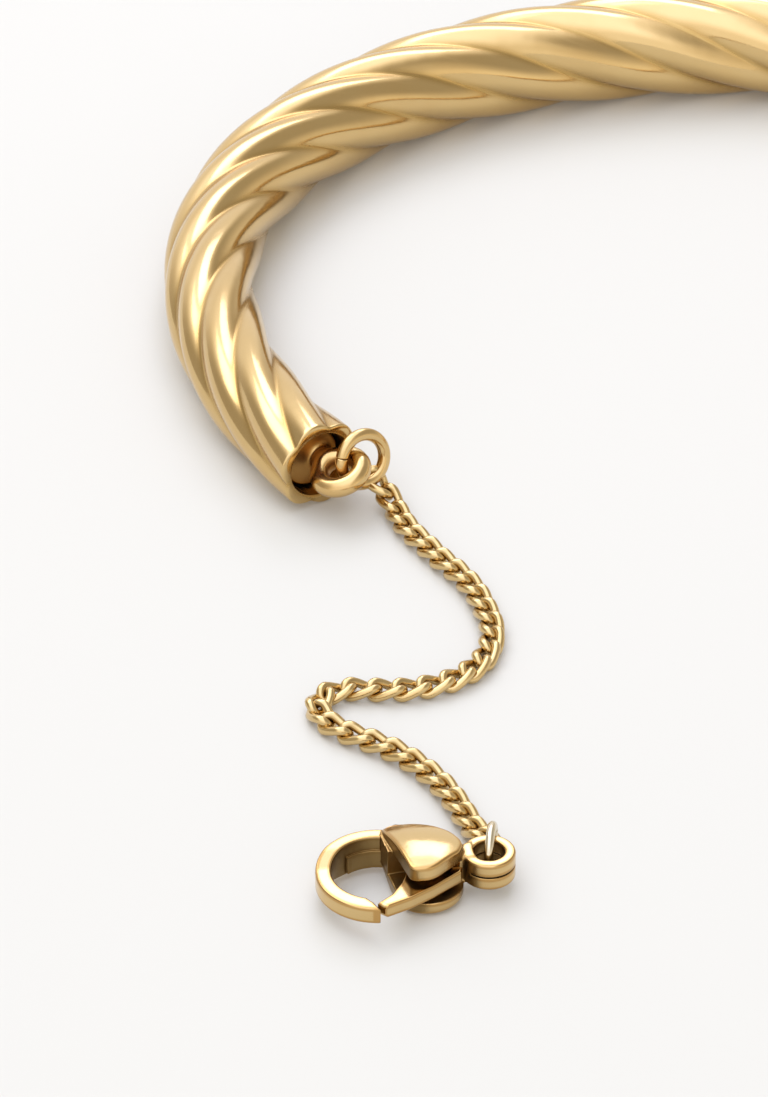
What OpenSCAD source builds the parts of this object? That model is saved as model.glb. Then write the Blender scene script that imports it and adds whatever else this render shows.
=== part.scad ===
// Open oval bangle of hollow twisted tube, closed by a fine chain and a small lever clasp.
// Millimetres. The origin is the centre of the oval, on the surface that the bangle lies on.
// +Z is the wearer's arm, and -Y is the gap between the tube's two ends.

/* [Oval] */
// Half width of the oval, to the tube's centre line
oval_half_w = 31.5; // [26:0.5:38]
// Half depth of the oval, to the tube's centre line
oval_half_d = 31; // [26:0.5:38]
// Share by which the oval is wider at the back, and narrower at the ends
oval_egg = 0.115; // [0:0.005:0.2]
// Angle past the widest place at which each end of the tube stops
end_angle = 32; // [15:1:45]

/* [Tube] */
// Thickness over the ridges at the middle of the back
back_dia = 6.5; // [5.6:0.1:8.5]
// Thickness over the ridges at each end
end_dia = 5.2; // [4.6:0.1:6.4]
// Wall of the tube under a groove
tube_wall = 0.35; // [0.25:0.05:0.5]
// Number of ridges round the tube
ridges = 6; // [3:1:8]
// Distance from one groove to the next, along the tube
groove_pitch = 6.2; // [4.5:0.05:8]
// Depth of a groove at the back
groove_depth = 0.45; // [0.2:0.05:0.6]
// Turn of the whole twist, to place its grooves
twist_start = 45; // [0:5:360]

/* [End fittings] */
// Depth of the cap's face inside the tube's mouth
mouth_depth = 0.9; // [0.5:0.1:2]
// Thickness of the cap
cap_t = 1; // [0.6:0.1:2]
// Clearance round the cap, and between other pieces that don't move
fit_gap = 0.05; // [0.03:0.01:0.1]
// Thickness of the loop's wire
loop_wire = 1.1; // [0.8:0.05:1.3]
// Diameter of the loop, to the middle of its wire
loop_dia = 2.4; // [2.3:0.1:3.2]
// Distance from the tube's mouth to the loop's centre
loop_reach = 1.2; // [1.2:0.1:2.4]
// Distance of the loop from the middle of the mouth, towards the inside of the oval
loop_side = 0.5; // [0:0.1:0.5]
// Tilt of the loop out of the bangle's plane
loop_tilt = 20; // [0:1:45]

/* [Rings and chain] */
// Wire of the ring between loop and chain
ring_wire = 0.7; // [0.4:0.05:0.7]
// Diameter of that ring, to the middle of its wire
ring_dia = 2.8; // [2.8:0.1:3.4]
// Wire of the ring between chain and clasp
ear_ring_wire = 0.4; // [0.3:0.05:0.5]
// Diameter of that ring, to the middle of its wire
ear_ring_dia = 2.6; // [2.5:0.1:3.2]
// Width of the chain across its links
chain_w = 1.35; // [0.9:0.05:1.5]
// Height of the chain where it lies flat
chain_h = 0.9; // [0.6:0.05:1.1]

/* [Clasp] */
// Place of the clasp's ear along X
ear_x = -16.4; // [-30:0.1:0]
// Place of the clasp's ear along Y
ear_y = -50.9; // [-60:0.1:-40]
// Direction from the ear to the hook
clasp_turn = 193; // [150:1:240]
// Distance from the ear's centre to the centre of the hook's curve
hook_x = 5.65; // [5.2:0.05:6.5]
// Outer radius of the hook
hook_r = 3.1; // [2.9:0.05:3.8]
// Width of the hook's band
hook_band = 0.8; // [0.6:0.05:0.9]
// Height of the hook's band at its tip
hook_h = 0.95; // [0.7:0.05:1.2]
// Distance from the ear's centre to the lever's pin
pin_x = 3.1; // [2.9:0.05:3.4]
// Radius of the two round cheeks over the pin
cheek_r = 1.75; // [1.6:0.05:1.9]
// Thickness of each cheek at its crown
cheek_t = 0.95; // [0.7:0.05:1.2]
// Space between the cheeks, for the lever
slot_h = 1.3; // [1:0.05:1.5]
// Height of the lever
lever_h = 0.75; // [0.6:0.05:0.9]
// Outer radius of the ear
ear_r = 1.34; // [1.25:0.01:1.45]
// Radius of the ear's hole
ear_hole_r = 0.78; // [0.7:0.02:0.85]
// Height of the ear
ear_h = 1.5; // [1.2:0.05:1.6]
// Slit between the ear's two halves
ear_slit = 0.08; // [0.05:0.01:0.15]
// Radius of the lever's pin
pin_r = 0.4; // [0.3:0.05:0.5]
// Clearance of the lever on its pin
pin_gap = 0.05; // [0.03:0.01:0.08]

/* [Hidden] */
$fn = 48;
gold = [0.86, 0.70, 0.42];
pale_gold = [0.88, 0.80, 0.62];

// Sections of the tube: points on each ridge, stations to each ring of the bore, and stations in all
ridge_points = 6;
bore_step = 2;
tube_steps = 104;
outer_n = ridges * ridge_points;
bore_n = outer_n / 2;
first_turn = -end_angle;
full_turn = 180 + 2 * end_angle;

// Share of the way from the middle of the back (0) to an end (1), and the thickness there
function away(t) = abs(t - 90) / (90 + end_angle);
function thick(t) = end_dia + (back_dia - end_dia) * (1 + cos(180 * away(t))) / 2;
function scale_at(t) = thick(t) / back_dia;
function bore_r(t) = thick(t) / 2 - groove_depth * scale_at(t) - tube_wall;

// The centre line lies half a thickness above the surface, so the ridges touch it all the way
function centre(t) = [oval_half_w * (1 + oval_egg * sin(t)) * cos(t), oval_half_d * sin(t), thick(t) / 2];
function flow(t) = [oval_half_w * (oval_egg * cos(t) * cos(t) - (1 + oval_egg * sin(t)) * sin(t)),
                    oval_half_d * cos(t)];
function unit(v) = v / norm(v);

turns = [for (i = [0 : tube_steps]) first_turn + full_turn * i / tube_steps];
along = [for (i = 0, d = 0; i <= tube_steps;
              d = d + (i < tube_steps ? norm(centre(turns[i + 1]) - centre(turns[i])) : 0),
              i = i + 1) d];
function twist(i) = twist_start + 360 * along[i] / (ridges * groove_pitch);
bore_shift = floor((twist(tube_steps) - twist(0)) / (360 / bore_n));
bore_drift = twist(tube_steps) - twist(0) - bore_shift * 360 / bore_n;

function across(t) = let (f = unit(flow(t))) [-f[1], f[0], 0];
function ridge_r(t, a) = thick(t) / 2 - groove_depth * scale_at(t) * (1 - abs(cos(ridges * a / 2)));
function around(t, r, a) = centre(t) + r * (cos(a) * across(t) + sin(a) * [0, 0, 1]);

// A loop's frame at the tube's left mouth: X points out of the mouth
mouth_t = first_turn + full_turn;
mouth = centre(mouth_t);
mouth_turn = atan2(flow(mouth_t)[1], flow(mouth_t)[0]);

// The cap is straight and the bore bends away over its depth, by less than cap_bow
cap_bow = (mouth_depth + cap_t) ^ 2 / oval_half_d;
cap_r = bore_r(mouth_t) * cos(180 / bore_n) - fit_gap - cap_bow;

// The ring hangs on the loop's high side, and the chain swings its foot out, which takes ring_slack of its room
ring_slack = 0.08;
ring_hang = ring_dia / 2 - ring_wire / 2 - loop_wire / 2 - fit_gap - ring_slack;
ring_lean = 20;
ring_swing = 15;

// Route of the chain, chosen by hand: down from its ring, then in loose bends over the surface
chain_route = [
    [-21.7, -16.5, 1.05], [-21.4, -16.8, 0.75], [-21.1, -17.4, 0.5], [-20.8, -18.4, 0.45], [-20.2, -19.9, 0.45],
    [-19.4, -21.2, 0.45], [-18.5, -22.7, 0.45], [-17.6, -24, 0.45], [-16.8, -25.5, 0.45], [-16.3, -27.1, 0.45],
    [-15.9, -28.8, 0.45], [-15.9, -30.5, 0.45], [-16.4, -32.2, 0.45], [-17.2, -33.3, 0.45], [-18.4, -34.2, 0.45],
    [-19.8, -34.7, 0.45], [-21.3, -34.9, 0.45], [-22.7, -34.8, 0.45], [-23.9, -34.9, 0.45], [-24.8, -35.5, 0.45],
    [-25.1, -36.5, 0.45], [-24.6, -37.7, 0.45], [-23.6, -38.6, 0.45], [-22.3, -39.4, 0.45], [-20.9, -40.4, 0.45],
    [-19.6, -41.8, 0.45], [-18.6, -43.3, 0.45], [-17.9, -44.8, 0.45], [-17.3, -46.4, 0.45], [-16.8, -47.6, 0.6],
    [-16.4, -48.3, 0.8]];
chain_n = 8;

// Heights and places on the clasp, measured from the surface and from the ear's centre
// Each cheek is a slice of a ball, and the lower one is cut flat by flat_cut where it lies on the surface
flat_cut = 0.1;
clasp_mid = slot_h / 2 + cheek_t - flat_cut;
crown_r = 9;
crown_place = [pin_x + 0.4, -0.4];
pin_place = [pin_x, 0.1];
hub_r = 1.05;
hub_gap = 0.15;
boss_r = 0.85;

// The cheeks reach from the pin to back_place, where the hook runs into them
back_place = [hook_x - 1.6, 0.95 - hook_r];
back_r = 0.95;
side_inset = 0.02;

// The hook's opening is set off towards the back, so its band is thinner there.
// The band grows from hook_h to reach from hook_low to hook_top over the share hook_grow of its radius.
hook_shift = 0.08;
hook_root = [-3.4, -9];
hook_low = -1.2;
hook_top = 0.7;
hook_grow = [0.1, 0.75];

// The lever's tip lies just inside the hook's outer curve, and the hook ends tip_gap before it
tip_place = [hook_x + 0.27, hook_r - 0.28];
tip_len = norm(tip_place - pin_place);
tip_gap = 0.12;

// The neck joins the ear to the filling behind the lever, which runs this far into both cheeks
neck = [-0.75, 0.3];
sink = 0.1;
clear = 9;
// Direction from the ear's centre in which its ring stands, and how far the ring's centre is above the ear's
slit_end = ear_hole_r + 0.3;
ring_out = [0.12, 0.99];
ring_rise = 0.1;

// Closed skin over rings of equal point counts, with flat ends
function skin(rings, n) = [for (i = [0 : rings - 2], j = [0 : n - 1])
    each [[i * n + j, (i + 1) * n + j, (i + 1) * n + (j + 1) % n],
          [i * n + j, (i + 1) * n + (j + 1) % n, i * n + (j + 1) % n]]];

module bangle_tube() {
    bore_steps = tube_steps / bore_step;
    outer = [for (i = [0 : tube_steps], j = [0 : outer_n - 1])
        let (a = 360 * j / outer_n) around(turns[i], ridge_r(turns[i], a), a + twist(i))];
    bore = [for (i = [0 : bore_steps], j = [0 : bore_n - 1])
        around(turns[i * bore_step], bore_r(turns[i * bore_step]),
               360 * j / bore_n + twist(0) + bore_drift * i / bore_steps)];
    b0 = len(outer);
    b1 = b0 + bore_steps * bore_n;
    o1 = tube_steps * outer_n;
    function lip(o, b, shift) = [for (k = [0 : bore_n - 1])
        let (p = o + 2 * k, q = o + 2 * k + 1, r = o + (2 * k + 2) % outer_n,
             u = b + (k + shift) % bore_n, v = b + (k + 1 + shift) % bore_n)
        each [[p, q, u], [q, r, v], [q, v, u]]];
    faces = concat(
        skin(tube_steps + 1, outer_n),
        [for (f = skin(bore_steps + 1, bore_n)) [f[0] + b0, f[2] + b0, f[1] + b0]],
        lip(0, b0, 0),
        [for (f = lip(o1, b1, bore_shift % bore_n)) [f[0], f[2], f[1]]]);
    color(gold) polyhedron(concat(outer, bore), faces);
}

module torus(dia, wire) {
    rotate_extrude() translate([dia / 2, 0]) circle(d = wire);
}

module at_mouth() {
    translate(mouth) rotate([0, 0, mouth_turn]) children();
}

// A cap sunk in the mouth, with a short stem and the loop soldered to it
module end_cap() {
    stem_end = loop_reach - loop_dia / 2;
    color(gold) at_mouth() {
        translate([-mouth_depth - cap_t, 0, 0]) rotate([0, 90, 0]) cylinder(r = cap_r, h = cap_t);
        translate([-mouth_depth - cap_t / 2, loop_side, 0]) rotate([0, 90, 0])
            cylinder(d = loop_wire, h = mouth_depth + cap_t / 2 + stem_end);
        translate([loop_reach, loop_side, 0]) rotate([loop_tilt, 0, 0]) torus(loop_dia, loop_wire);
    }
}

module end_cap_near() {
    end_cap();
}

module end_cap_far() {
    mirror([1, 0, 0]) end_cap();
}

module chain_ring() {
    color(gold) at_mouth() translate([loop_reach, loop_side, 0]) rotate([loop_tilt, 0, 0])
        translate([0, loop_dia / 2, 0]) rotate([-loop_tilt, 0, 0]) rotate([0, -ring_swing, 0])
        translate([0, ring_hang * cos(ring_lean), -ring_hang * sin(ring_lean)])
        rotate([0, 90, 0]) torus(ring_dia, ring_wire);
}

module chain() {
    last = len(chain_route) - 1;
    points = [for (i = [0 : last], j = [0 : chain_n - 1])
        let (way = unit(chain_route[min(i + 1, last)] - chain_route[max(i - 1, 0)]),
             side = unit(cross([0, 0, 1], way)),
             up = cross(way, side),
             a = 360 * (j + 0.5) / chain_n,
             swell = 1 / cos(180 / chain_n))
        chain_route[i] + swell * (cos(a) * chain_w / 2 * side + sin(a) * chain_h / 2 * up)];
    color(gold) polyhedron(points, concat(
        skin(last + 1, chain_n),
        [[for (j = [0 : chain_n - 1]) j]],
        [[for (j = [chain_n - 1 : -1 : 0]) last * chain_n + j]]));
}

module at_clasp() {
    translate([ear_x, ear_y, clasp_mid]) rotate([0, 0, clasp_turn]) children();
}

module clasp_ring() {
    wall_mid = (ear_r + ear_hole_r) / 2;
    color(pale_gold) translate([ear_x + ring_out[0] * wall_mid, ear_y + ring_out[1] * wall_mid, clasp_mid + ring_rise])
        rotate([0, 0, atan2(ring_out[1], ring_out[0])]) rotate([90, 0, 0]) torus(ear_ring_dia, ear_ring_wire);
}

// Two round discs and the straight-sided piece between them, whose sides run just inside the discs' edges
module link_2d(p1, r1, p2, r2) {
    d = p2 - p1;
    turn = atan2(d[1], d[0]);
    open = acos((r1 - r2) / norm(d));
    function edge(p, r, a) = p + (r - side_inset) * [cos(a), sin(a)];
    translate(p1) circle(r = r1);
    translate(p2) circle(r = r2);
    polygon([edge(p1, r1, turn + open), edge(p2, r2, turn + open), edge(p2, r2, turn - open), edge(p1, r1, turn - open)]);
}

module cheek_2d() {
    link_2d(pin_place, cheek_r, back_place, back_r);
}

// The hook runs from its tip on the mouth side round to the back, where it joins the cheeks
module hook_2d() {
    difference() {
        translate([hook_x, 0]) circle(r = hook_r);
        translate([hook_x, -hook_shift]) circle(r = hook_r - hook_band);
        translate([hook_x, 0]) polygon([[0, 0], [0, clear], [-clear, clear], [-clear, -clear], hook_root]);
        intersection() {
            translate(pin_place) circle(r = tip_len + tip_gap);
            translate([0, hook_r / 3]) square([clear, clear]);
        }
    }
}

// The hook's height, seen along X: level at the tip, deeper towards the back
module hook_side_2d() {
    near = -hook_grow[0] * hook_r;
    far = -hook_grow[1] * hook_r;
    polygon([[clear, -hook_h / 2], [clear, hook_h / 2], [near, hook_h / 2], [far, hook_top], [-clear, hook_top],
             [-clear, hook_low], [far, hook_low], [near, -hook_h / 2]]);
}

module hook() {
    intersection() {
        translate([0, 0, hook_low]) linear_extrude(hook_top - hook_low) hook_2d();
        rotate([90, 0, 90]) linear_extrude(2 * clear) hook_side_2d();
    }
}

// What fills the slot behind the lever, and the neck towards the ear
module back_2d() {
    difference() {
        union() {
            intersection() {
                cheek_2d();
                translate([0, -1 - clear]) square([clear, clear]);
            }
            translate([ear_hole_r, neck[0]]) square([pin_x - ear_hole_r, neck[1] - neck[0]]);
        }
        translate(pin_place) circle(r = hub_r + hub_gap);
    }
}

module clasp_body() {
    color(gold) at_clasp() difference() {
        union() {
            hook();
            for (side = [-1, 1]) intersection() {
                translate([0, 0, side > 0 ? slot_h / 2 : -clasp_mid])
                    linear_extrude(side > 0 ? cheek_t : clasp_mid - slot_h / 2) cheek_2d();
                translate([crown_place[0], crown_place[1], side * (slot_h / 2 + cheek_t - crown_r)])
                    sphere(r = crown_r, $fn = 96);
            }
            translate([0, 0, -slot_h / 2 - sink]) linear_extrude(slot_h + 2 * sink) back_2d();
            translate([0, 0, -ear_h / 2]) linear_extrude(ear_h) difference() {
                circle(r = ear_r);
                circle(r = ear_hole_r);
            }
        }
        translate([-2 * ear_r, -2 * ear_r, -ear_slit / 2]) cube([2 * ear_r + slit_end, 4 * ear_r, ear_slit]);
        translate([pin_place[0], pin_place[1], -slot_h / 2 - cheek_t / 2])
            cylinder(r = pin_r + fit_gap, h = slot_h + cheek_t);
    }
}

// Slightly bowed outer edge from the tip to the thumb end, wedge-shaped tip, round hub on the pin.
// Its points are measured along the line from the pin to the tip, and across it towards the outside.
module lever_2d() {
    outer = [[tip_len, 0], [0.66 * tip_len, 0.67], [0.31 * tip_len, 1.15]];
    thumb = [[-0.52, 1.59], [-0.9, 1.42], [-0.5, 0.9]];
    inner = [[0.25, -0.86], [0.46 * tip_len, -0.31], [0.73 * tip_len, -0.13], [tip_len, -0.2]];
    way = tip_place - pin_place;
    translate(pin_place) rotate(atan2(way[1], way[0])) intersection() {
        union() {
            circle(r = hub_r);
            polygon(concat(outer, thumb, inner));
        }
        circle(r = tip_len);
    }
}

module clasp_lever() {
    color(gold) at_clasp() difference() {
        union() {
            translate([0, 0, -lever_h / 2]) linear_extrude(lever_h) lever_2d();
            translate([pin_place[0], pin_place[1], -slot_h / 2 + fit_gap])
                cylinder(r = boss_r, h = slot_h - 2 * fit_gap);
        }
        translate([pin_place[0], pin_place[1], -slot_h]) cylinder(r = pin_r + pin_gap, h = 2 * slot_h);
    }
}

module clasp_pin() {
    color(gold) at_clasp() translate([pin_place[0], pin_place[1], -slot_h / 2 - cheek_t / 2 + fit_gap])
        cylinder(r = pin_r, h = slot_h + cheek_t - 2 * fit_gap);
}

bangle_tube();
end_cap_near();
end_cap_far();
chain_ring();
chain();
clasp_ring();
clasp_body();
clasp_lever();
clasp_pin();
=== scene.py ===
"""Looks of an open bangle of hollow twisted tube, closed by a fine curb chain and a small lever clasp.

Forms are worked out in millimetres and become metres when they are made into meshes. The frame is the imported
model's: +Z is up from the surface that the bangle lies on, and -Y is the gap between the tube's two ends.
"""

from __future__ import annotations

import logging
import math
from collections.abc import Callable, Mapping, Sequence
from dataclasses import dataclass, field
from enum import Enum
from functools import cached_property, reduce

import bpy
import numpy as np
from bpy.types import ID, Material, Node, NodeSocket, NodeTree, Object
from mathutils import Euler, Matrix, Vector

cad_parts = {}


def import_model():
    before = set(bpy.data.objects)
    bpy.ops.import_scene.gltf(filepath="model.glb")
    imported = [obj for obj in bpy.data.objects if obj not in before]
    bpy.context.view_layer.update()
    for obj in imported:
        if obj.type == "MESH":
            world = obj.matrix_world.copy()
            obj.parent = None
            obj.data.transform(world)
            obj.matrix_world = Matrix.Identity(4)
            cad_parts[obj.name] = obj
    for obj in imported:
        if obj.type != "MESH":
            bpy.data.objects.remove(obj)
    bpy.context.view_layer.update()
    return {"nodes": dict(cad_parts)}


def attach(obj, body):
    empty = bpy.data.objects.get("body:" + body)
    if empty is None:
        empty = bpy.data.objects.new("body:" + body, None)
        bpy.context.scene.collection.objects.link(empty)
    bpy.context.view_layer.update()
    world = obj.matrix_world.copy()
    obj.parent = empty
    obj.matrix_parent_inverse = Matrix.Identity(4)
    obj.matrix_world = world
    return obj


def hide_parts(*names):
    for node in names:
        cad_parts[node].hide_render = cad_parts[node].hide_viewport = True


LOG = logging.getLogger("bangle")
MM = 0.001
INF = math.inf

Array = np.ndarray
Place = tuple[float, float, float]
Spot = tuple[float, float]
Color = tuple[float, float, float]
Field = Callable[[Array, Array, Array], Array]
FlatField = Callable[[Array, Array], Array]

UP = np.array([0.0, 0.0, 1.0])
CORNERS = np.array([(i, j, k) for i in (0, 1) for j in (0, 1) for k in (0, 1)])
EDGES = [(a, b) for a in range(8) for b in range(a + 1, 8) if np.abs(CORNERS[a] - CORNERS[b]).sum() == 1]


class Body(Enum):
    """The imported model's bodies."""

    ROOT = "root"
    LEVER = "lever"


class Slot(Enum):
    """The record's material slots."""

    GOLD = "gold"
    CHAIN_GOLD = "chain_gold"
    CLASP_GOLD = "clasp_gold"
    PALE_GOLD = "pale_gold"


class End(Enum):
    """The tube's two ends: the one that the chain hangs on, and the bare one, which mirrors it."""

    NEAR = "near"
    FAR = "far"


def unit(vectors: Array) -> Array:
    """Returns the vectors at length 1."""
    return vectors / np.linalg.norm(vectors, axis=-1, keepdims=True)


def turned(degrees: float) -> Array:
    """Returns the 3 by 3 matrix that turns about Z."""
    c, s = math.cos(math.radians(degrees)), math.sin(math.radians(degrees))
    return np.array([[c, -s, 0.0], [s, c, 0.0], [0.0, 0.0, 1.0]])


def tilted(degrees: float) -> Array:
    """Returns the 3 by 3 matrix that turns about X."""
    c, s = math.cos(math.radians(degrees)), math.sin(math.radians(degrees))
    return np.array([[1.0, 0.0, 0.0], [0.0, c, -s], [0.0, s, c]])


def ease(share: Array) -> Array:
    """Returns 0 below 0, 1 above 1, and a smooth rise between."""
    t = np.clip(share, 0.0, 1.0)
    return t * t * (3.0 - 2.0 * t)


def one_turn(count: int) -> Array:
    """Returns angles spread evenly over one turn, in radians."""
    return np.linspace(0.0, 2.0 * np.pi, count, endpoint=False)


def lengths_along(points: Array) -> Array:
    """Returns the length of a line of points up to each of them."""
    return np.concatenate([[0.0], np.cumsum(np.linalg.norm(np.diff(points, axis=0), axis=1))])


def add_object(name: str, data: ID) -> Object:
    """Returns a new object of the scene with the data."""
    made = bpy.data.objects.new(name, data)
    bpy.context.scene.collection.objects.link(made)
    return made


def soft_min(a: Array, b: Array, radius: float) -> Array:
    """Returns the smaller of two distances, rounded over radius where they are alike."""
    if radius <= 0:
        return np.minimum(a, b)
    h = np.maximum(radius - np.abs(a - b), 0.0) / radius
    return np.minimum(a, b) - h * h * radius / 4.0


def rounded(a: Array, b: Array, edge: float) -> Array:
    """Returns the distance to what lies inside both a and b, with their meeting edge rounded."""
    u, v = a + edge, b + edge
    return np.minimum(np.maximum(u, v), 0.0) + np.hypot(np.maximum(u, 0.0), np.maximum(v, 0.0)) - edge


class Sock:
    """An output of a node. Arithmetic on it adds Math nodes."""

    def __init__(self, nodes: Nodes, socket: NodeSocket) -> None:
        """Keeps the tree's builder and the socket."""
        self.nodes = nodes
        self.socket = socket

    def _math(self, operation: str, *values: Value) -> Sock:
        """Adds a Math node and returns its result. The values are its operands, in order."""
        return self.nodes.out("Math", {"operation": operation}, dict(enumerate(values)))

    def __add__(self, other: Value) -> Sock:
        """Returns the sum."""
        return self._math("ADD", self, other)

    def __sub__(self, other: Value) -> Sock:
        """Returns the difference."""
        return self._math("SUBTRACT", self, other)

    def __rsub__(self, other: Value) -> Sock:
        """Returns the difference the other way round."""
        return self._math("SUBTRACT", other, self)

    def __mul__(self, other: Value) -> Sock:
        """Returns the product."""
        return self._math("MULTIPLY", self, other)

    __radd__ = __add__
    __rmul__ = __mul__

    def between(self, low: float, high: float) -> Sock:
        """Returns 0 at low, 1 at high, and a smooth rise between."""
        inputs = {"Value": self, "From Min": low, "From Max": high}
        return self.nodes.out("MapRange", {"interpolation_type": "SMOOTHSTEP"}, inputs)


Value = Sock | float | Sequence[float]
Inputs = Mapping[str | int, Value]


class Nodes:
    """Builds one node tree."""

    def __init__(self, tree: NodeTree) -> None:
        """Empties the tree."""
        tree.nodes.clear()
        self.tree = tree

    def add(self, kind: str, settings: Mapping[str, object], inputs: Inputs) -> Node:
        """Adds a node.

        Args:
            kind: The node's type, without what all types start with.
            settings: Its properties, which are set first.
            inputs: The value or link of each socket that isn't left as it is. A colour gets full alpha.

        Returns:
            The node.
        """
        node = self.tree.nodes.new("ShaderNode" + kind)
        for name, value in settings.items():
            setattr(node, name, value)
        for name, value in inputs.items():
            socket = node.inputs[name]
            if isinstance(value, Sock):
                self.tree.links.new(value.socket, socket)
            else:
                socket.default_value = (*value, 1.0) if socket.type == "RGBA" else value
        return node

    def out(self, kind: str, settings: Mapping[str, object], inputs: Inputs, output: str | int = 0) -> Sock:
        """Adds a node and returns one of its outputs."""
        return Sock(self, self.add(kind, settings, inputs).outputs[output])

    def noise(self, where: Sock, scale: float, detail: float) -> Sock:
        """Returns noise from 0 to 1, with scale swells to the millimetre and detail finer layers on them."""
        return self.out("TexNoise", {}, {"Vector": where, "Scale": scale, "Detail": detail})

    def mixed(self, share: Value, first: Value, second: Value) -> Sock:
        """Returns the colour that lies share of the way from first to second."""
        factor, a, b, result = 0, 6, 7, 2
        settings = {"data_type": "RGBA"}
        return self.out("Mix", settings, {factor: share, a: first, b: second}, result)


@dataclass(frozen=True)
class GoldFinish:
    """A plated finish: its colours, its gloss and the fine marks on it. Heights are in millimetres.

    A pair of _from is where a mask starts and where it is full, and a _share is how much of it shows.
    """

    name: str
    slot: Slot
    color: Color
    # painted shade: the colour that creases and hollows are darkened towards
    warm: Color
    shade_color: Color
    gloss: float
    dull: float
    swell_height: float
    swell_scale: float
    mark_height: float
    mark_scale: float
    # painted reflection: the dark colour laid along thin edges
    rim: Color = (0.60, 0.40, 0.16)
    edge_reflection_share: float = 0.75
    cloud_scale: float = 0.35
    swell_detail: float = 1.0
    cloud_detail: float = 3.0
    mark_detail: float = 4.0
    patch_from: Spot = (0.35, 0.7)
    patch_share: float = 0.6
    worn_from: Spot = (0.52, 0.72)
    # the painted shade's mask range, its share, its noise and the roughness it adds
    shade_from: Spot = (0.15, 0.95)
    shade_share: float = 0.55
    shade_cloud: float = 0.5
    shade_dull: float = 0.8
    worn_dull: float = 0.3
    patch_dull: float = 0.25

    @cached_property
    def material(self) -> Material:
        """The material. Points carry masks of painted shade in creases and of a painted dark reflection along
        rims, and a lay that the fine marks follow.

        Returns:
            The material, which is made at its first use.
        """
        made = bpy.data.materials.new(self.name)
        made.use_nodes = True
        nodes = Nodes(made.node_tree)
        place = nodes.out("TexCoord", {}, {}, "Object")
        where = nodes.out("VectorMath", {"operation": "SCALE"}, {0: place, "Scale": 1.0 / MM})
        lay = nodes.out("Attribute", {"attribute_name": "lay"}, {}, "Vector")
        # painted shade in creases and hollows comes from the first mask, a painted dark reflection along thin
        # edges from the second
        crease = nodes.out("Attribute", {"attribute_name": "crease"}, {}, "Fac")
        rim = nodes.out("Attribute", {"attribute_name": "rim"}, {}, "Fac")
        swell = nodes.noise(where, self.swell_scale, self.swell_detail)
        cloud = nodes.noise(where, self.cloud_scale, self.cloud_detail)
        marks = nodes.noise(lay, self.mark_scale, self.mark_detail)
        patch = cloud.between(*self.patch_from)
        worn = marks.between(*self.worn_from)
        shaded = crease.between(*self.shade_from)
        body = nodes.mixed(patch * self.patch_share, self.color, self.warm)
        # painted dark reflection along thin edges
        edged = nodes.mixed(rim * self.edge_reflection_share, body, self.rim)
        # painted shade in creases and hollows, varied by the cloud
        depth = shaded * (self.shade_share + cloud * self.shade_cloud)
        base = nodes.mixed(depth, edged, self.shade_color)
        dullness = shaded * self.shade_dull + worn * self.worn_dull + patch * self.patch_dull
        rough = dullness * (self.dull - self.gloss) + self.gloss
        height = swell * self.swell_height + marks * self.mark_height
        normal = nodes.out("Bump", {}, {"Strength": 1.0, "Distance": MM, "Height": height})
        inputs = {"Base Color": base, "Metallic": 1.0, "Roughness": rough, "Normal": normal}
        shader = nodes.out("BsdfPrincipled", {}, inputs)
        nodes.add("OutputMaterial", {}, {"Surface": shader})
        return made


# Each deep colour below is painted shade, and each rim colour a painted dark reflection along edges.
TUBE_FINISH = GoldFinish(
    name="polished_tube_gold", slot=Slot.GOLD,
    color=(0.66, 0.47, 0.215), warm=(0.64, 0.44, 0.19), shade_color=(0.46, 0.29, 0.09),
    gloss=0.13, dull=0.3,
    swell_height=0.012, swell_scale=0.7, mark_height=0.0006, mark_scale=3.0,
)
FITTING_FINISH = GoldFinish(
    name="soldered_fitting_gold", slot=Slot.GOLD,
    color=(0.66, 0.46, 0.205), warm=(0.64, 0.42, 0.17), shade_color=(0.42, 0.21, 0.05),
    gloss=0.16, dull=0.38,
    swell_height=0.014, swell_scale=1.4, mark_height=0.001, mark_scale=4.0,
)
CHAIN_FINISH = GoldFinish(
    name="chain_gold", slot=Slot.CHAIN_GOLD,
    color=(0.66, 0.48, 0.225), warm=(0.62, 0.43, 0.18), shade_color=(0.24, 0.15, 0.05),
    gloss=0.14, dull=0.4,
    swell_height=0.004, swell_scale=2.4, mark_height=0.001, mark_scale=6.0,
)
CLASP_FINISH = GoldFinish(
    name="tumbled_clasp_gold", slot=Slot.CLASP_GOLD,
    color=(0.66, 0.475, 0.22), warm=(0.64, 0.44, 0.19), shade_color=(0.22, 0.14, 0.05),
    rim=(0.46, 0.25, 0.07),
    gloss=0.12, dull=0.34,
    swell_height=0.006, swell_scale=1.6, mark_height=0.0008, mark_scale=5.0,
)
PALE_FINISH = GoldFinish(
    name="pale_ring_gold", slot=Slot.PALE_GOLD,
    color=(0.70, 0.62, 0.46), warm=(0.68, 0.57, 0.38), shade_color=(0.36, 0.28, 0.15),
    gloss=0.12, dull=0.32,
    swell_height=0.002, swell_scale=2.4, mark_height=0.0006, mark_scale=6.0,
)


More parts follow.
